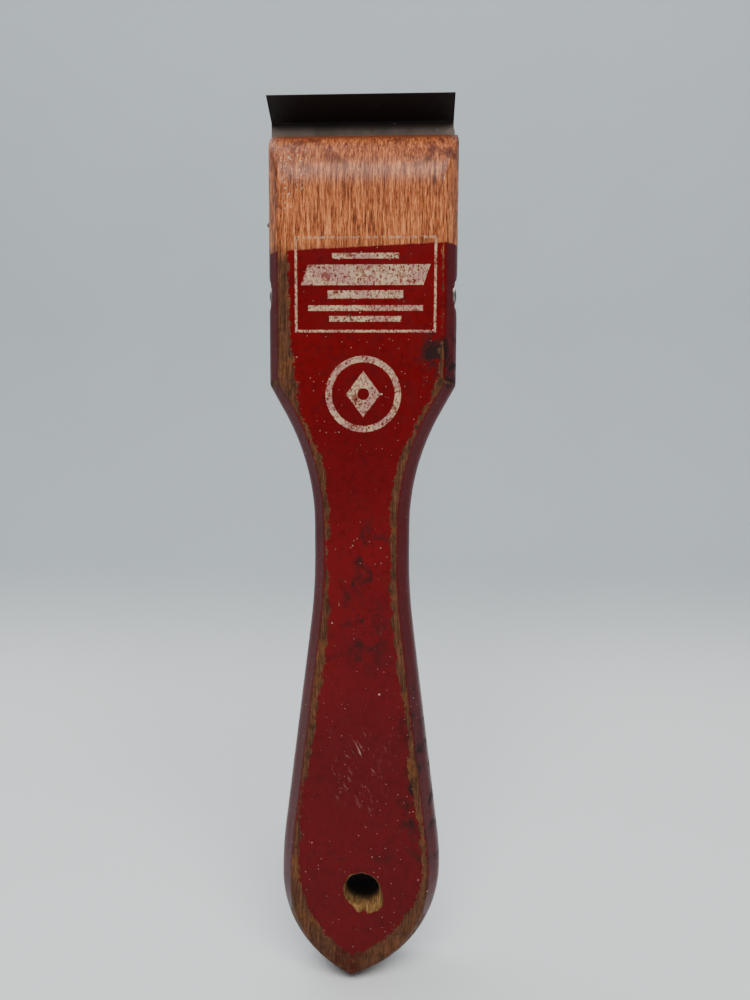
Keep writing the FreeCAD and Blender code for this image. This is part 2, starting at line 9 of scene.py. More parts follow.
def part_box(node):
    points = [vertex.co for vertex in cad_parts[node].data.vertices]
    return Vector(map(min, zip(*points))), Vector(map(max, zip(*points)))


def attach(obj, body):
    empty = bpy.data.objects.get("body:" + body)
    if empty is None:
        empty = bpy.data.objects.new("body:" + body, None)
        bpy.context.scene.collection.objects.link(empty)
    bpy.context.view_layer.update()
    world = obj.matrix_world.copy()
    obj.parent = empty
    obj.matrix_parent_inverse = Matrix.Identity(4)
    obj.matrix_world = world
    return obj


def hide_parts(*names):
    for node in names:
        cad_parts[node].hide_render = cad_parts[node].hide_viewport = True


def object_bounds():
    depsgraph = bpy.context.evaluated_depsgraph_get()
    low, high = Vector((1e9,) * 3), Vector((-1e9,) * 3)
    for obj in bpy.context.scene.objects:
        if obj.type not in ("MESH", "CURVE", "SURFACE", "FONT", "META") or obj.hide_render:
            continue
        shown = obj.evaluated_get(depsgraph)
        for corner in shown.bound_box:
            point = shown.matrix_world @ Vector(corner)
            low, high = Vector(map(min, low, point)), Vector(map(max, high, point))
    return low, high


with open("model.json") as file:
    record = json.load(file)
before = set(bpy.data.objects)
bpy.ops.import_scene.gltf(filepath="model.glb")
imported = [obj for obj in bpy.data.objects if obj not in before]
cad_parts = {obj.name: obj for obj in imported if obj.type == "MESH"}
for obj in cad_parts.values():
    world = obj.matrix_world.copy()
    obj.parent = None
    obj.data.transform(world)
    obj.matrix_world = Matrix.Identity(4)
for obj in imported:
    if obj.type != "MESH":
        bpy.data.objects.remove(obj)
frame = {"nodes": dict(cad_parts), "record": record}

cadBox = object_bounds()
low, high = cadBox
mm = 0.001
tipLevel = low.z


# shader sums written as plain expressions

class Wire:
    def __init__(self, finish, socket):
        self.finish = finish
        self.socket = socket

    def math(self, operation, *others):
        sockets = dict(enumerate((self, *others)))
        return self.finish.node("ShaderNodeMath", {"operation": operation}, sockets)

    def __add__(self, other):
        return self.math("ADD", other)

    def __mul__(self, other):
        return self.math("MULTIPLY", other)

    def __sub__(self, other):
        return self.math("SUBTRACT", other)

    def __rsub__(self, other):
        return self.finish.node("ShaderNodeMath", {"operation": "SUBTRACT"}, {0: other, 1: self})

    def __abs__(self):
        return self.math("ABSOLUTE")

    __radd__ = __add__
    __rmul__ = __mul__

    def larger(self, other):
        return self.math("MAXIMUM", other)

    def smaller(self, other):
        return self.math("MINIMUM", other)

    def rise(self, start, end):      # 0 below start, 1 above end, smooth between
        settings = {"interpolation_type": "SMOOTHSTEP"}
        sockets = {"Value": self, "From Min": start, "From Max": end}
        return self.finish.node("ShaderNodeMapRange", settings, sockets)

    def band(self, start, end, soft):      # 1 between start and end, fading over soft at both ends
        return self.rise(start - soft, start + soft) * (1 - self.rise(end - soft, end + soft))

    def output(self, name):
        return Wire(self.finish, self.socket.node.outputs[name])


class Finish:
    def __init__(self, name, **fixed):
        self.material = bpy.data.materials.new(name)
        self.material.use_nodes = True
        self.tree = self.material.node_tree
        self.tree.nodes.clear()
        self.shader = self.tree.nodes.new("ShaderNodeBsdfPrincipled")
        surface = self.tree.nodes.new("ShaderNodeOutputMaterial")
        self.tree.links.new(self.shader.outputs[0], surface.inputs["Surface"])
        for socket, value in fixed.items():
            self.shader.inputs[socket.replace("_", " ")].default_value = value
        # places are read in millimetres
        place = self.node("ShaderNodeTexCoord", {}, {}, "Object")
        self.place = self.node("ShaderNodeVectorMath", {"operation": "SCALE"}, {0: place, "Scale": 1000.0})
        self.x = self.node("ShaderNodeSeparateXYZ", {}, {0: self.place}, "X")
        self.y = self.x.output("Y")
        self.z = self.x.output("Z")

    def node(self, kind, settings, sockets, output=0):
        node = self.tree.nodes.new(kind)
        for name, value in settings.items():
            if name == "stops":
                self.setStops(node.color_ramp, value)
            else:
                setattr(node, name, value)
        for name, value in sockets.items():
            if isinstance(value, Wire):
                self.tree.links.new(value.socket, node.inputs[name])
            else:
                node.inputs[name].default_value = value
        return Wire(self, node.outputs[output])

    def setStops(self, ramp, stops):
        while len(ramp.elements) < len(stops):
            ramp.elements.new(1.0)
        for element, (position, colour) in zip(ramp.elements, stops):
            element.position = position
            element.color = (*colour, 1.0)

    def stretched(self, across, depth, along):
        return self.node("ShaderNodeMapping", {}, {"Vector": self.place, "Scale": (across, depth, along)})

    def noise(self, scale, detail=3.0, rough=0.5, place=None, warp=0.0):
        sockets = {"Vector": place or self.place, "Scale": scale, "Detail": detail,
                   "Roughness": rough, "Distortion": warp}
        return self.node("ShaderNodeTexNoise", {}, sockets, "Fac")

    def specks(self, scale, size, share):      # round dots, only in a share of the cells
        cells = self.node("ShaderNodeTexVoronoi", {}, {"Vector": self.place, "Scale": scale}, "Distance")
        luck = self.node("ShaderNodeSeparateXYZ", {}, {0: cells.output("Color")}, "X")
        keep = luck.rise(1 - share, 1 - share + 0.02)
        return (1 - cells.rise(size * 0.6, size)) * keep

    def ramp(self, value, stops):
        return self.node("ShaderNodeValToRGB", {"stops": stops}, {0: value})

    def blend(self, share, first, second):      # first where share is 0, second where it is 1
        def full(colour):
            return colour if isinstance(colour, Wire) else (*colour, 1.0)

        # on a colour mix, sockets 6 and 7 are the two colours and output 2 is the result
        sockets = {0: share, 6: full(first), 7: full(second)}
        return self.node("ShaderNodeMix", {"data_type": "RGBA"}, sockets, 2)

    def feed(self, **sockets):
        for name, value in sockets.items():
            self.tree.links.new(value.socket, self.shader.inputs[name.replace("_", " ")])

    def bump(self, *layers):      # each layer is a height in millimetres
        normal = None
        for height in layers:
            sockets = {"Height": height, "Distance": mm, "Strength": 1.0}
            if normal:
                sockets["Normal"] = normal
            normal = self.node("ShaderNodeBump", {}, sockets)
        self.feed(Normal=normal)


# modelling helpers

def deselect():
    if bpy.context.mode != "OBJECT":
        bpy.ops.object.mode_set(mode="OBJECT")
    bpy.ops.object.select_all(action="DESELECT")


def only(piece):
    deselect()
    piece.select_set(True)
    bpy.context.view_layer.objects.active = piece


def copyNode(node, name):      # the CAD node stays as it is, its copy is welded
    only(frame["nodes"][node])
    bpy.ops.object.duplicate()
    piece = bpy.context.active_object
    piece.name = name
    piece.data.name = name
    bpy.ops.object.mode_set(mode="EDIT")
    bpy.ops.mesh.select_all(action="SELECT")
    bpy.ops.mesh.remove_doubles(threshold=wood["weld"])
    bpy.ops.mesh.normals_make_consistent(inside=False)
    bpy.ops.object.mode_set(mode="OBJECT")
    return piece


def useModifier(piece, kind, **settings):
    only(piece)
    modifier = piece.modifiers.new(kind.title(), kind)
    for name, value in settings.items():
        setattr(modifier, name, value)
    bpy.ops.object.modifier_apply(modifier=modifier.name)


def dress(piece, finish):
    piece.data.materials.clear()
    piece.data.materials.append(finish.material)


def between(value, stops):
    # straight runs between the stops of a short list
    for (start, first), (end, second) in zip(stops, stops[1:]):
        if value <= end:
            share = max(0.0, (value - start) / (end - start))
            return first + (second - first) * share
    return stops[-1][1]


# the wooden handle

wood = {
    "weld": 0.002 * mm,
    "voxel": 0.72 * mm,
    "soften": 4,
    "softenShare": 0.5,
    "sharpTurn": math.radians(22),      # edges that turn less than this are not worn
    "midPlane": 3 * mm,                 # edges nearer the middle of the thickness than this are left out
    "sample": 0.5 * mm,
    "flatFacing": 0.93,                 # normals nearer the thickness direction than this are flat faces
    # width of the bare strip along the edges of a flat face, by height from the waist, both in millimetres
    "bareLeft": [(-166, 8), (-140, 6), (-128, 4.5), (-120, 2.6), (-104, 2.0), (-98, 0.9), (-90, 0.7),
                 (-84, 1.8), (-70, 2.6), (-57, 2.2), (-46, 3.0), (-24, 2.6), (-12, 1.2), (0, 1.1),
                 (10, 1.9), (28, 2.4), (36, 1.5), (44, 1.2), (50, 2.4), (56, 5.4), (66, 4.4), (75, 3.6),
                 (98, 3.6), (141, 2.0)],
    "bareRight": [(-166, 8), (-140, 5.5), (-128, 3.5), (-118, 1.7), (-100, 1.6), (-90, 2.4), (-78, 3.2),
                  (-72, 1.6), (-60, 1.5), (-44, 2.5), (-30, 2.3), (-16, 2.6), (-8, 1.7), (10, 2.2),
                  (30, 2.4), (40, 1.6), (50, 1.2), (56, 2.2), (66, 1.7), (72, 0.8), (100, 0.8), (141, 1.0)],
    "bareBack": [(-166, 8), (-140, 4.5), (-120, 2.2), (-60, 1.0), (0, 1.8), (45, 2.0), (60, 2.4),
                 (141, 1.2)],
    # how fast a strip dies away down the bevel
    "bevelShare": [(-136, 1.0), (-122, 7.0), (46, 7.0), (52, 3.0), (60, 7.0)],
    # depth of the nicks, where they start, and the scales of the coarse and fine ones
    "nick": 0.16 * mm,
    "nickFrom": -0.6,
    "nickScales": (620, 1500),
    "nickFine": 0.6,
}


def edgeSamples(piece):
    # points along the sharp edges of the outline, painted face and back apart
    mesh = bmesh.new()
    mesh.from_mesh(piece.data)
    front, back = [], []
    for edge in mesh.edges:
        if len(edge.link_faces) != 2 or edge.calc_face_angle(0.0) < wood["sharpTurn"]:
            continue
        start, end = edge.verts[0].co, edge.verts[1].co
        middle = (start + end) / 2
        fromHole = math.hypot(middle.x - hole["x"], middle.z - hole["z"])
        if fromHole < hole["keepOff"] * hole["radius"] or abs(middle.y) < wood["midPlane"]:
            continue
        count = max(1, int((end - start).length / wood["sample"]))
        places = [start.lerp(end, step / count) for step in range(count + 1)]
        (front if middle.y < 0 else back).extend(places)
    mesh.free()
    return front, back


def treeOf(places):
    tree = kdtree.KDTree(len(places))
    for row, place in enumerate(places):
        tree.insert(place, row)
    tree.balance()
    return tree


def markWear(piece, front, back):
    # how far inside its bare strip each point lies, in millimetres
    wear = piece.data.attributes.new("wear", "FLOAT", "POINT")
    frontTree, backTree = treeOf(front), treeOf(back)
    facing = [vertex.normal.copy() for vertex in piece.data.vertices]
    for vertex in piece.data.vertices:
        place = vertex.co.copy()
        normal = facing[vertex.index]
        height = place.z / mm
        if place.y < 0:
            strip = between(height, wood["bareLeft"] if place.x < 0 else wood["bareRight"])
            gap = frontTree.find(place)[2] / mm
            flat = normal.y < -wood["flatFacing"]
        else:
            strip = between(height, wood["bareBack"])
            gap = backTree.find(place)[2] / mm
            flat = normal.y > wood["flatFacing"]
        inside = strip - gap * (1.0 if flat else between(height, wood["bevelShare"]))
        wear.data[vertex.index].value = inside
        if inside > wood["nickFrom"]:
            coarse, fine = (noise.noise(place * scale) for scale in wood["nickScales"])
            vertex.co = place - normal * (wood["nick"] * max(0.0, coarse + wood["nickFine"] * fine))


mounts = {mount["name"]: mount for mount in frame["record"]["mounts"]}
holeMount = mounts["hang_hole"]
hole = {
    "x": holeMount["pos_m"][0],
    "z": holeMount["pos_m"][2],
    "radius": holeMount["dims"]["r_mm"] * mm,
    "face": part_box("handle")[0].y,
    "keepOff": 1.4,      # in hole radii, nothing is worn nearer than this
    # torn places on the rim: turn about the hole in degrees, size in millimetres, stretch
    "chips": [(-42, 2.6, 1.3), (-66, 2.0, 1.2), (-20, 1.6, 1.2), (-100, 1.5, 1.5), (128, 1.2, 1.0)],
    "chipSteps": 3,
    "chipFlat": 0.7,
    "ripple": 0.35,
    "rippleScale": 900,
    "rippleStep": 7.3,
    # millimetres: raw wood shows nearer the axis than tornTo and deeper than skin, enamel starts at rim
    "tornTo": (11, 12),
    "skin": (10.75, 10.93),
    "rim": (6.55, 6.85),
}


def roughBlob(place, size, stretch, row):      # a lump to bite one chip out of the rim
    bpy.ops.mesh.primitive_ico_sphere_add(subdivisions=hole["chipSteps"], radius=size, location=place)
    blob = bpy.context.active_object
    bpy.ops.object.transform_apply(location=True, rotation=False, scale=False)
    for vertex in blob.data.vertices:
        away = vertex.co - place
        shift = Vector((row * hole["rippleStep"], 0, 0))
        ripple = 1 + hole["ripple"] * noise.noise(away * hole["rippleScale"] + shift)
        vertex.co = place + Vector((away.x, away.y * hole["chipFlat"], away.z * stretch)) * ripple
    return blob


def chipHole(piece):
    for row, (turn, size, stretch) in enumerate(hole["chips"]):
        angle = math.radians(turn)
        place = Vector((hole["x"] + hole["radius"] * math.cos(angle), hole["face"],
                        hole["z"] + hole["radius"] * math.sin(angle)))
        deselect()
        blob = roughBlob(place, size * mm, stretch, row)
        useModifier(piece, "BOOLEAN", object=blob, operation="DIFFERENCE", solver="EXACT")
        bpy.data.objects.remove(blob)


def makeHandle():
    piece = copyNode("handle", "woodHandle")
    front, back = edgeSamples(piece)
    chipHole(piece)
    useModifier(piece, "REMESH", mode="VOXEL", voxel_size=wood["voxel"])
    useModifier(piece, "SMOOTH", factor=wood["softenShare"], iterations=wood["soften"])
    only(piece)
    bpy.ops.object.shade_smooth()
    markWear(piece, front, back)
    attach(piece, "frame")
    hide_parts("handle")
    dress(piece, enamelledWood())
    print("handle modelled:", len(piece.data.polygons), "faces")


# heights and distances of the finish are in millimetres from the waist

paint = {
    "enamel": (0.120, 0.0026, 0.0045),
    "enamelWarm": (0.150, 0.0034, 0.0050),
    "enamelDark": (0.055, 0.0008, 0.0014),
    # painted shade and painted reflection: a darker, more purple enamel for the rounded sides of the handle
    "bevelPaintedShade": (0.046, 0.0026, 0.0060),
    "soot": (0.014, 0.008, 0.007),
    "dust": (0.60, 0.40, 0.36),
    "glue": (0.62, 0.50, 0.38),
    "cream": (0.56, 0.39, 0.25),
    "creamRose": (0.45, 0.255, 0.20),
    "line": 100.0,               # upper end of the enamel at the middle
    "lineRise": 0.045,           # and its rise from left to right
    "buttEnd": (-138, -133),     # the enamel is gone below this
    "darkEnd": (-75, -25),
    "seatDepth": (8.2, 8.6),     # the blade seat was never painted
    "seatFoot": (67, 68.5),
    "tongueShift": 4,            # a streak of enamel down to the tip
    "tongueWide": (2, 8),
    "tongueReach": 12,
    "streakReach": 30,
    "tipSoak": (-150, -135),
    "flatEdge": (10.0, 10.9),    # beyond this distance from the middle plane lie the flat faces
    "scuffLean": math.radians(-28),
    "scuffStretch": (1.3, 1.0, 6.0),
    "scuffHeights": (-92, -66, 8),
    "scuffWide": (4, 13),
    "glueShift": 22.5,
    "glueWide": (2, 7),
    "glueHeights": (111, 133, 4),
}
grime = {
    # dark handling marks: where they lie across, and along as start, end and softness
    "middleShift": 2,
    "middleWide": (2, 11),
    "middleHeights": (-40, 5, 12),
    "rightFrom": (12, 19),
    "rightHeights": (-104, -48, 12),
    "cornerFrom": (17, 24),
    "cornerHeights": (54, 73, 5),
    "holeHeights": (-113.5, -110.5, 2.2),
    "darkest": 0.94,
}
marks = {
    "centre": 1.4,
    "panelMiddle": 87.8,
    "panelHalfWide": 23.0,
    "panelHalfTall": 15.1,
    "rule": 0.8,
    # across, height, half width, half height, lean of the ends of each bar
    "bars": [(0, 97.0, 11.0, 0.9, 0), (0, 90.9, 20.2, 3.3, 0.35), (0, 84.6, 12.5, 1.3, 0),
             (0, 80.2, 19.0, 0.9, 0), (0, 76.7, 12.0, 0.9, 0)],
    "badgeShift": -0.6,
    "badgeMiddle": 52.0,
    "badgeRadius": 11.6,
    "badgeBand": 2.1,
    "diamondSlope": (0.80, 0.60),
    "diamondHalf": 4.6,
    "diamondHole": 2.0,
    "edge": 0.09,
    "frontOnly": (-10.7, -10.3),
}


def printMarks(look):
    # a plain ruled panel of rubbed bars and a plain ringed diamond, both without lettering
    x, z = look.x - marks["centre"], look.z
    wobble = look.noise(0.7, 3.0, 0.6) * 0.2 - 0.1

    def box(middle, height, halfWide, halfTall, lean=0.0):
        across = x - middle - (z - height) * lean if lean else x - middle
        return (abs(across) - halfWide).larger(abs(z - height) - halfTall)

    def fill(shape):
        return 1 - (shape + wobble).rise(-marks["edge"], marks["edge"])

    panel = box(0, marks["panelMiddle"], marks["panelHalfWide"], marks["panelHalfTall"])
    ruled = fill(abs(panel) - marks["rule"] / 2)
    inked = ruled
    for bar in marks["bars"]:
        inked = inked.larger(fill(box(*bar)))
    across = x - marks["badgeShift"]
    rise = z - marks["badgeMiddle"]
    away = (across * across + rise * rise).math("SQRT")
    ring = fill(abs(away - marks["badgeRadius"]) - marks["badgeBand"] / 2)
    steep, shallow = marks["diamondSlope"]
    diamond = abs(across) * steep + abs(rise) * shallow - marks["diamondHalf"]
    inked = inked.larger(ring).larger(fill(diamond.larger(marks["diamondHole"] - away)))
    face = 1 - look.y.rise(*marks["frontOnly"])
    return ruled * face, inked * face


grain = {
    # stops run from the dark pores to the pale fibres
    "varnished": [(0.14, (0.036, 0.009, 0.004)), (0.38, (0.235, 0.056, 0.019)),
                  (0.58, (0.515, 0.138, 0.041)), (0.85, (0.810, 0.300, 0.103))],
    "bare": [(0.15, (0.020, 0.010, 0.006)), (0.40, (0.072, 0.029, 0.014)),
             (0.60, (0.150, 0.058, 0.029)), (0.85, (0.260, 0.115, 0.055))],
    "raw": [(0.20, (0.060, 0.028, 0.010)), (0.45, (0.210, 0.105, 0.036)),
            (0.75, (0.420, 0.250, 0.100))],
    "stainAndEndShade": (0.085, 0.022, 0.013),
    "flush": (0.26, 0.060, 0.028),
    "amber": (0.240, 0.085, 0.022),
    "dirt": (0.024, 0.012, 0.008),
    "holeDirt": (0.060, 0.028, 0.012),
    "edgeDirt": (0.030, 0.013, 0.009),
    # painted shade for the deep part of the hang hole
    "depth": (0.010, 0.006, 0.004),
    "noseFoot": (94, 103),        # varnish above, bare and handled wood below
    "noseTop": (112, 136),
    # painted shade at the very end of the nose
    "noseEndShade": (135.0, 139.0),
    "stainAcross": (4, 24),
    "sideFrom": (26.5, 30.5),
    "boreShadeDepths": (-9.5, -3.0),
}


def woodTones(look, hollow):
    z = look.z
    streak = look.noise(1.0, 4.0, 0.6, look.stretched(1.5, 0.25, 0.08))
    fibre = look.noise(1.0, 5.0, 0.68, look.stretched(4.6, 0.55, 0.26))
    pores = look.noise(1.0, 2.0, 0.5, look.stretched(6.5, 0.9, 0.45)).rise(0.56, 0.66)
    figure = (streak - 0.5) * 1.5 + (fibre - 0.5) * 2.0 - pores * 0.22 + 0.53
    calm = (figure - 0.5) * 0.55 + 0.46
    # varnished nose, darker and redder towards the hook from stain blotches, with painted shade on its last
    # few millimetres where it turns away towards the blade
    top = z.rise(*grain["noseTop"])
    blotch = look.noise(0.14, 5.0, 0.66, look.stretched(1.0, 0.6, 0.75), warp=0.5)
    stainShare = top * (0.70 + look.x.rise(*grain["stainAcross"]) * 0.30) + 0.12
    # the blotches are real stain; the darkening at the very end of the nose is painted shade
    stainAndEndShade = (blotch.rise(0.46, 0.64) * stainShare).larger(z.rise(*grain["noseEndShade"]) * 0.8)
    varnished = look.ramp(figure, grain["varnished"])
    varnished = look.blend(stainAndEndShade, varnished, grain["stainAndEndShade"])
    varnished = look.blend(top * 0.22, varnished, grain["flush"])
    # bare wood where the enamel is gone
    amber = look.noise(0.09, 3.0, 0.6).rise(0.50, 0.66)
    dirt = look.noise(0.42, 5.0, 0.68).rise(0.48, 0.66)
    bare = look.ramp(calm, grain["bare"])
    bare = look.blend(amber * 0.35, bare, grain["amber"])
    bare = look.blend(dirt * 0.5, bare, grain["dirt"])
    # raw wood in the hang hole, darkened deeper in the bore by painted shade
    raw = look.ramp(calm, grain["raw"])
    raw = look.blend(dirt * 0.45, raw, grain["holeDirt"])
    raw = look.blend(look.y.rise(*grain["boreShadeDepths"]), raw, grain["depth"])
    nose = z.rise(*grain["noseFoot"])
    timber = look.blend(nose, bare, varnished)
    timber = look.blend(hollow, timber, raw)
    sides = abs(look.x).rise(*grain["sideFrom"])
    edgeDirt = look.noise(0.25, 4.0, 0.65).rise(0.50, 0.62) * sides * nose
    timber = look.blend(edgeDirt * 0.4, timber, grain["edgeDirt"])
    return timber, nose, figure, pores


def grimeOn(look):
    x, z = look.x, look.z
    middle = (1 - abs(x - grime["middleShift"]).rise(*grime["middleWide"])) * z.band(*grime["middleHeights"])
    rightEdge = x.rise(*grime["rightFrom"]) * z.band(*grime["rightHeights"])
    corner = x.rise(*grime["cornerFrom"]) * z.band(*grime["cornerHeights"])
    aboveHole = z.band(*grime["holeHeights"])
    smudge = look.noise(0.12, 6.0, 0.68, warp=0.6)
    dirty = middle * 0.95 + rightEdge * 1.2 + corner * 1.3 + aboveHole * 0.5 + 0.12
    return (smudge.rise(0.47, 0.66) * dirty).smaller(grime["darkest"])


def dustOn(look):      # three sizes of pale specks, in patches
    patchy = look.noise(0.05, 2.0).rise(0.36, 0.6)
    dust = look.specks(0.42, 0.105, 0.22) * patchy
    grit = look.specks(0.95, 0.18, 0.13) * patchy
    splash = look.specks(0.12, 0.05, 0.34)
    return dust.larger(grit * 0.75).larger(splash)


def scuffOn(look):      # fine leaning scratches above the hang hole
    scrape = look.node("ShaderNodeMapping", {"vector_type": "TEXTURE"},
                       {"Vector": look.place, "Rotation": (0, paint["scuffLean"], 0),
                        "Scale": paint["scuffStretch"]})
    scratches = look.noise(1.0, 5.0, 0.7, scrape, warp=0.3).rise(0.56, 0.74)
    return scratches * look.z.band(*paint["scuffHeights"]) * (1 - abs(look.x).rise(*paint["scuffWide"]))


def enamelledWood():
    look = Finish("enamelled wood", IOR=1.47, Specular_IOR_Level=0.10, Coat_Roughness=0.34, Coat_IOR=1.45)
    x, y, z = look.x, look.y, look.z
    across = x - hole["x"] / mm
    along = z - hole["z"] / mm
    fromHole = (across * across + along * along).math("SQRT")
    inner, outer = hole["skin"]
    torn = (1 - fromHole.rise(*hole["tornTo"])) * y.rise(-outer, -inner) * (1 - y.rise(inner, outer))
    timber, nose, figure, pores = woodTones(look, torn)
    # enamel with grime, specks and fine scuffs
    drift = look.noise(0.03, 4.0, 0.55)
    mottle = look.noise(0.5, 4.0, 0.6)
    enamel = look.blend(drift.rise(0.3, 0.7), paint["enamel"], paint["enamelWarm"])
    enamel = look.blend(mottle.rise(0.45, 0.8) * 0.6, enamel, paint["enamelDark"])
    enamel = look.blend((1 - z.rise(*paint["darkEnd"])) * 0.30, enamel, paint["enamelDark"])
    # painted shade and painted reflection: the enamel on the rounded sides, past the flat faces, is darkened
    # towards purple
    edgeStart, edgeEnd = paint["flatEdge"]
    sidePaintedShade = y.rise(-edgeEnd, -edgeStart) * (1 - y.rise(edgeStart, edgeEnd))
    enamel = look.blend(sidePaintedShade * 0.62, enamel, paint["bevelPaintedShade"])
    dirty = grimeOn(look)
    enamel = look.blend(dirty, enamel, paint["soot"])
    dots = dustOn(look)
    scuff = scuffOn(look)
    enamel = look.blend((dots * 0.85).larger(scuff * 0.4), enamel, paint["dust"])
    # printed marks, rubbed away in places
    ruled, inked = printMarks(look)
    scored = look.noise(1.0, 3.0, 0.6, look.stretched(3.4, 1.0, 0.5)).rise(0.36, 0.47)
    patch = look.noise(0.20, 5.0, 0.66).rise(0.35, 0.45)
    rubbed = look.noise(1.3, 5.0, 0.78).rise(0.40, 0.52) * (0.35 + scored * 0.65) * (0.3 + patch * 0.7)
    ink = inked * rubbed
    cream = look.blend(look.noise(0.15, 2.0).rise(0.46, 0.58), paint["cream"], paint["creamRose"])
    enamel = look.blend(ink, enamel, cream)
    faint = look.noise(0.9, 4.0, 0.7).rise(0.44, 0.56) * 0.55
    timber = look.blend(ruled * nose * faint, timber, cream)
    # where the enamel still is
    ragged = look.noise(0.30, 5.0, 0.64) * 0.65 + look.noise(1.3, 3.0, 0.6) * 0.35 - 0.5
    wear = look.node("ShaderNodeAttribute", {"attribute_name": "wear"}, {}, "Fac")
    strip = (wear + ragged * 7.0).rise(-0.2, 0.2)
    dip = (paint["line"] + x * paint["lineRise"] - z + ragged * 1.4).rise(-0.25, 0.25)
    streaks = look.noise(1.0, 4.0, 0.6, look.stretched(0.9, 0.9, 0.06))
    tongue = 1 - abs(x + paint["tongueShift"]).rise(*paint["tongueWide"])
    butt = (z + streaks * paint["streakReach"] + tongue * paint["tongueReach"]).rise(*paint["buttEnd"])
    seat = 1 - y.rise(*paint["seatDepth"]) * z.rise(*paint["seatFoot"])
    chipped = 1 - look.noise(0.20, 5.0, 0.62).rise(0.700, 0.712)
    rim = (fromHole + ragged * 2.6).rise(*hole["rim"])
    painted = (1 - strip) * dip * butt * seat * chipped * rim * (1 - torn)
    # enamel soaked into the tip, and old glue on the nose
    soaked = tongue * (1 - z.rise(*paint["tipSoak"])) * mottle.rise(0.30, 0.62)
    timber = look.blend(soaked * 0.7, timber, paint["enamelDark"])
    flake = look.noise(1.1, 4.0, 0.62, warp=0.4).rise(0.605, 0.64)
    gluePatch = (1 - abs(x + paint["glueShift"]).rise(*paint["glueWide"])) * z.band(*paint["glueHeights"])
    timber = look.blend(flake * gluePatch * 0.85, timber, paint["glue"])
    look.feed(Base_Color=look.blend(painted, timber, enamel))
    gloss = look.noise(0.25, 4.0, 0.6)
    paintRough = 0.22 + gloss * 0.16 + dirty * 0.35 + ink * 0.18 + scuff * 0.1
    woodRough = 0.60 - nose * 0.12 + (figure - 0.5) * 0.2 + torn * 0.25
    look.feed(Roughness=painted * (paintRough - woodRough) + woodRough)
    look.feed(Coat_Weight=painted * 0.05 + nose * (1 - painted) * 0.42)
    grainHeight = figure * 0.10 - pores * 0.05
    filmHeight = painted * 0.12 + dots * painted * 0.05 + ink * 0.02 + gloss * 0.03
    look.bump(grainHeight * (1 - painted * 0.85), filmHeight)
    return look


# steel and brass

bladeSteel = {
    "colour": (0.185, 0.140, 0.112),
    "dull": (0.125, 0.094, 0.076),
    # painted shade: near-black for the underside of the hook lip
    "brushed": (0.26, 0.21, 0.17),
    "lipShadeTone": (0.016, 0.012, 0.011),
    "smear": (0.055, 0.028, 0.016),
    "fleck": (0.5, 0.47, 0.43),
    "ground": (0.55, 0.52, 0.48),
    "hookSlope": 0.45,             # the painted shade on the hook lip follows the slope of the hook
    "hookStart": (138.8, 142.2),
    "edgeStart": (151.35, 151.75),
    "edgeDepth": -1.4,
}


def darkBladeSteel():
    look = Finish("blade steel with painted lip shade")
    lines = look.noise(1.0, 3.0, 0.6, look.stretched(0.10, 3.0, 3.0))
    cloud = look.noise(0.08, 5.0, 0.62, warp=0.3)
    smear = look.noise(0.5, 4.0, 0.6, look.stretched(1.0, 1.0, 0.4)).rise(0.56, 0.72)
    # painted shade: the hook lip turns away from the light and is painted nearly black, with a higher
    # metallic share
    lipShade = (look.z - look.y * bladeSteel["hookSlope"]).rise(*bladeSteel["hookStart"])
    tone = look.blend(cloud.rise(0.35, 0.7), bladeSteel["colour"], bladeSteel["dull"])
    tone = look.blend(lines.rise(0.5, 0.8) * 0.4, tone, bladeSteel["brushed"])
    tone = look.blend(lipShade, tone, bladeSteel["lipShadeTone"])
    tone = look.blend(smear * 0.35, tone, bladeSteel["smear"])
    flecks = look.specks(0.40, 0.11, 0.06)
    tone = look.blend(flecks * 0.7, tone, bladeSteel["fleck"])
    atEdge = (look.y - bladeSteel["edgeDepth"]).rise(0.0, 0.3)
    ground = look.z.rise(*bladeSteel["edgeStart"]) * atEdge
    tone = look.blend(ground * 0.7, tone, bladeSteel["ground"])
    look.feed(Base_Color=tone, Roughness=0.50 + cloud * 0.2 - ground * 0.2,
              Metallic=0.35 + lipShade * 0.4 - flecks * 0.3)
    look.bump(lines * 0.010 + cloud * 0.01)
    return look


# clouds is the scale of the tarnish, brushed stretches the fine lines, rust is the share of rusted pits
capSteel = {
    "name": "tarnished cap steel",
    "colour": (0.27, 0.25, 0.23),
    "dark": (0.13, 0.11, 0.095),
    "rough": 0.34,
    "clouds": 0.05,
    "brushed": (3.5, 3.5, 0.05),
    "rust": 0.6,
}
pinSteel = {
    "name": "peened pin steel",
    "colour": (0.13, 0.115, 0.10),
    "dark": (0.05, 0.04, 0.035),
    "rough": 0.42,
    "clouds": 0.4,
    "brushed": (1.2, 2.0, 2.0),
    "rust": 0.7,
}
screwSteel = {
    "name": "screw steel",
    "colour": (0.30, 0.285, 0.26),
    "dark": (0.14, 0.12, 0.10),
    "rough": 0.36,
    "clouds": 0.35,
    "brushed": (1.5, 4.0, 1.5),
    "rust": 0.4,
}
washerSteel = {
    "name": "washer steel",
    "colour": (0.27, 0.255, 0.235),
    "dark": (0.12, 0.10, 0.09),
    "rough": 0.40,
    "clouds": 0.3,
    "brushed": (2.0, 2.0, 2.0),
    "rust": 0.5,
}
insertBrass = {
    "name": "turned brass",
    "colour": (0.52, 0.34, 0.12),
    "dark": (0.28, 0.16, 0.06),
    "rough": 0.32,
    "clouds": 0.3,
    "brushed": (1.0, 6.0, 1.0),
    "rust": 0.15,
}
rustTone = (0.11, 0.036, 0.014)


def brighter(colour, share, limit=1.0):
    return tuple(min(limit, part * share) for part in colour)


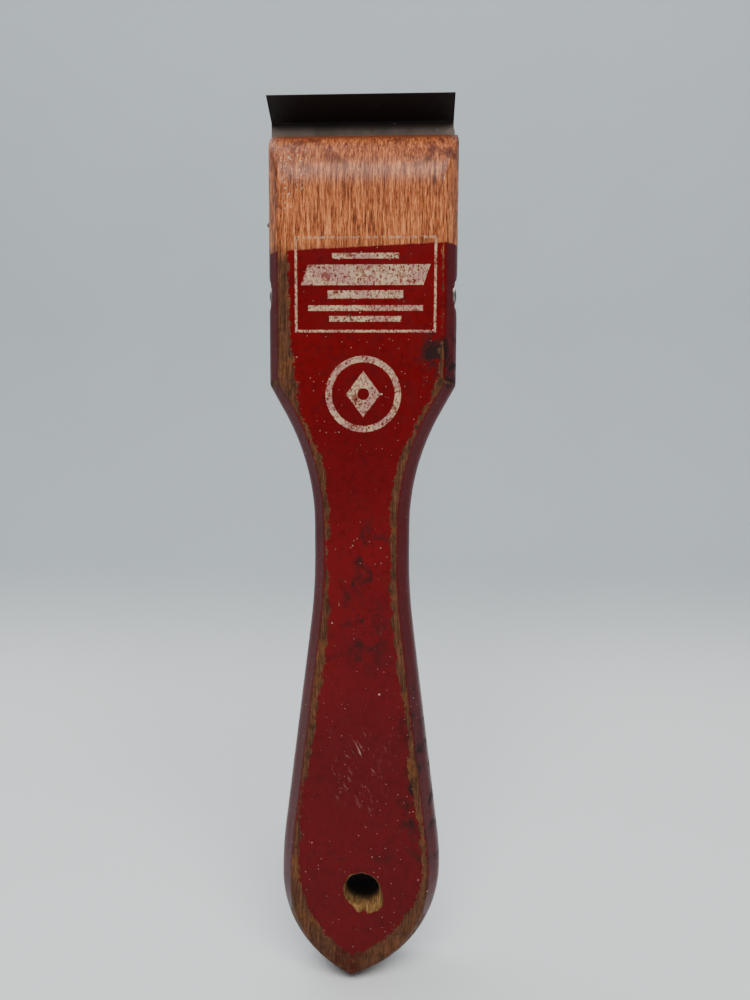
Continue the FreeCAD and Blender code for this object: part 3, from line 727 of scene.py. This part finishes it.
def wornMetal(metal):
    look = Finish(metal["name"])
    lines = look.noise(1.0, 4.0, 0.65, look.stretched(*metal["brushed"]))
    cloud = look.noise(metal["clouds"], 6.0, 0.68, warp=0.2)
    fine = look.noise(metal["clouds"] * 6, 5.0, 0.7)
    tarnish = (cloud * 0.6 + fine * 0.4).rise(0.40, 0.62)
    scratch = look.noise(1.0, 2.0, 0.5, look.stretched(0.25, 2.0, 5.0)).rise(0.66, 0.70)
    pits = (fine * 0.7 + cloud * 0.3).rise(0.60, 0.68) * metal["rust"]
    tone = look.blend(tarnish * 0.8, metal["colour"], metal["dark"])
    tone = look.blend(lines.rise(0.48, 0.68) * 0.4, tone, brighter(metal["colour"], 1.6))
    tone = look.blend(scratch * 0.5, tone, brighter(metal["colour"], 2.4, 0.8))
    tone = look.blend(pits, tone, rustTone)
    look.feed(Base_Color=tone, Roughness=metal["rough"] + tarnish * 0.20 + pits * 0.25 - scratch * 0.1,
              Metallic=1 - pits * 0.9)
    look.bump(lines * 0.008 + cloud * 0.02 - pits * 0.03 - scratch * 0.01)
    return look


def dressMetal():
    nodes = frame["nodes"]
    dress(nodes["blade"], darkBladeSteel())
    dress(nodes["clamp_cap"], wornMetal(capSteel))
    dress(nodes["cross_pin"], wornMetal(pinSteel))
    dress(nodes["clamp_screw"], wornMetal(screwSteel))
    dress(nodes["screw_washer"], wornMetal(washerSteel))
    dress(nodes["threaded_insert"], wornMetal(insertBrass))
    print("metal dressed")


# floor, light and camera

studio = {
    "floorWide": 4.0,
    "floorFront": 1.6,
    "floorBack": 0.42,
    "wallTall": 2.2,
    "bendWidth": 0.30,
    "bendSteps": 24,
    "wallShadedTone": (0.49, 0.545, 0.575),
    "wallShade": 0.93,
    "floorLitTone": (0.94, 0.965, 0.975),
    "litToShadedHeights": (-162, -70),      # heights in millimetres where the painted light on the floor gives way to the painted shade on the wall
    "worldTone": (0.72, 0.80, 0.86),
    "worldStrength": 0.22,
}


def selectBackEdge(floor):      # the back edge of the floor, where the wall rises
    sheet = bmesh.from_edit_mesh(floor.data)
    for edge in sheet.edges:
        edge.select = all(vertex.co.y > studio["floorBack"] - mm and vertex.co.z < tipLevel + mm
                          for vertex in edge.verts)
    sheet.select_flush_mode()
    bmesh.update_edit_mesh(floor.data)


def makeStage():
    deselect()
    bpy.ops.mesh.primitive_plane_add(size=1, location=(0, 0, tipLevel))
    floor = bpy.context.active_object
    floor.name = "studioFloor"
    floor.scale = (studio["floorWide"], studio["floorFront"] + studio["floorBack"], 1)
    floor.location = (0, (studio["floorBack"] - studio["floorFront"]) / 2, tipLevel)
    bpy.ops.object.transform_apply(location=True, rotation=True, scale=True)
    bpy.ops.object.mode_set(mode="EDIT")
    bpy.ops.mesh.select_mode(type="EDGE")
    bpy.ops.mesh.select_all(action="DESELECT")
    selectBackEdge(floor)
    bpy.ops.mesh.extrude_region_move(TRANSFORM_OT_translate={"value": (0, 0, studio["wallTall"])})
    bpy.ops.mesh.select_all(action="DESELECT")
    selectBackEdge(floor)
    bpy.ops.mesh.bevel(offset=studio["bendWidth"], segments=studio["bendSteps"])
    bpy.ops.object.mode_set(mode="OBJECT")
    bpy.ops.object.shade_smooth()
    look = Finish("pale studio cloth", Roughness=0.9)
    drift = look.noise(0.01, 3.0).rise(0.3, 0.7) * 0.3
    tone = look.blend(drift, studio["wallShadedTone"], brighter(studio["wallShadedTone"], studio["wallShade"]))
    # painted light and shade: the one cloth is painted bright on the floor and darker up the wall
    tone = look.blend(look.z.rise(*studio["litToShadedHeights"]), studio["floorLitTone"], tone)
    look.feed(Base_Color=tone)
    dress(floor, look)
    print("floor and wall made")


# places in metres, power in watts
overheadPanel = {
    "place": (0.12, -0.75, 0.95),
    "aim": (0, 0, 0),
    "size": (1.1, 0.5),
    "power": 17.0,
    "tone": (1.0, 0.985, 0.96),
}
skyPanel = {
    "place": (-0.35, 0.36, 1.15),
    "aim": (0, 0.02, 0),
    "size": (1.1, 0.7),
    "power": 9.0,
    "tone": (0.94, 0.97, 1.0),
}


def areaLight(name, panel):
    light = bpy.data.lights.new(name, "AREA")
    light.shape = "RECTANGLE"
    light.size, light.size_y = panel["size"]
    light.energy = panel["power"]
    light.color = panel["tone"]
    lamp = bpy.data.objects.new(name, light)
    lamp.location = panel["place"]
    towards = Vector(panel["aim"]) - Vector(panel["place"])
    lamp.rotation_euler = towards.to_track_quat("-Z", "Y").to_euler()
    bpy.context.collection.objects.link(lamp)


def makeLight():
    areaLight("overheadPanel", overheadPanel)
    areaLight("skyPanel", skyPanel)
    world = bpy.data.worlds.new("studio air")
    world.use_nodes = True
    backdrop = world.node_tree.nodes["Background"]
    backdrop.inputs["Color"].default_value = (*studio["worldTone"], 1)
    backdrop.inputs["Strength"].default_value = studio["worldStrength"]
    bpy.context.scene.world = world
    print("lights placed")


shot = {
    "lens": 27.04,
    "sensor": 36,
    "nearClip": 0.01,
    "distance": 264.5 * mm,
    "belowTop": 108.1 * mm,
    "aside": 4.4 * mm,
    "turn": math.radians(2.8),
    "dip": math.radians(6.2),
    "roll": math.radians(0.3),
}


def makeCamera():
    camera = bpy.data.cameras.new("bench camera")
    camera.lens = shot["lens"]
    camera.sensor_width = shot["sensor"]
    camera.clip_start = shot["nearClip"]
    eye = bpy.data.objects.new("benchCamera", camera)
    turn = shot["turn"]
    eye.location = (shot["aside"] * math.cos(turn) + shot["distance"] * math.sin(turn),
                    shot["aside"] * math.sin(turn) - shot["distance"] * math.cos(turn),
                    high.z - shot["belowTop"])
    level = Matrix.Rotation(turn, 3, "Z") @ Matrix.Rotation(math.pi / 2 - shot["dip"], 3, "X")
    eye.rotation_euler = (level @ Matrix.Rotation(shot["roll"], 3, "Z")).to_euler()
    bpy.context.collection.objects.link(eye)
    bpy.context.scene.camera = eye
    print("camera placed")


makeStage()
makeLight()
makeCamera()
makeHandle()
dressMetal()
deselect()
print("scene ready")
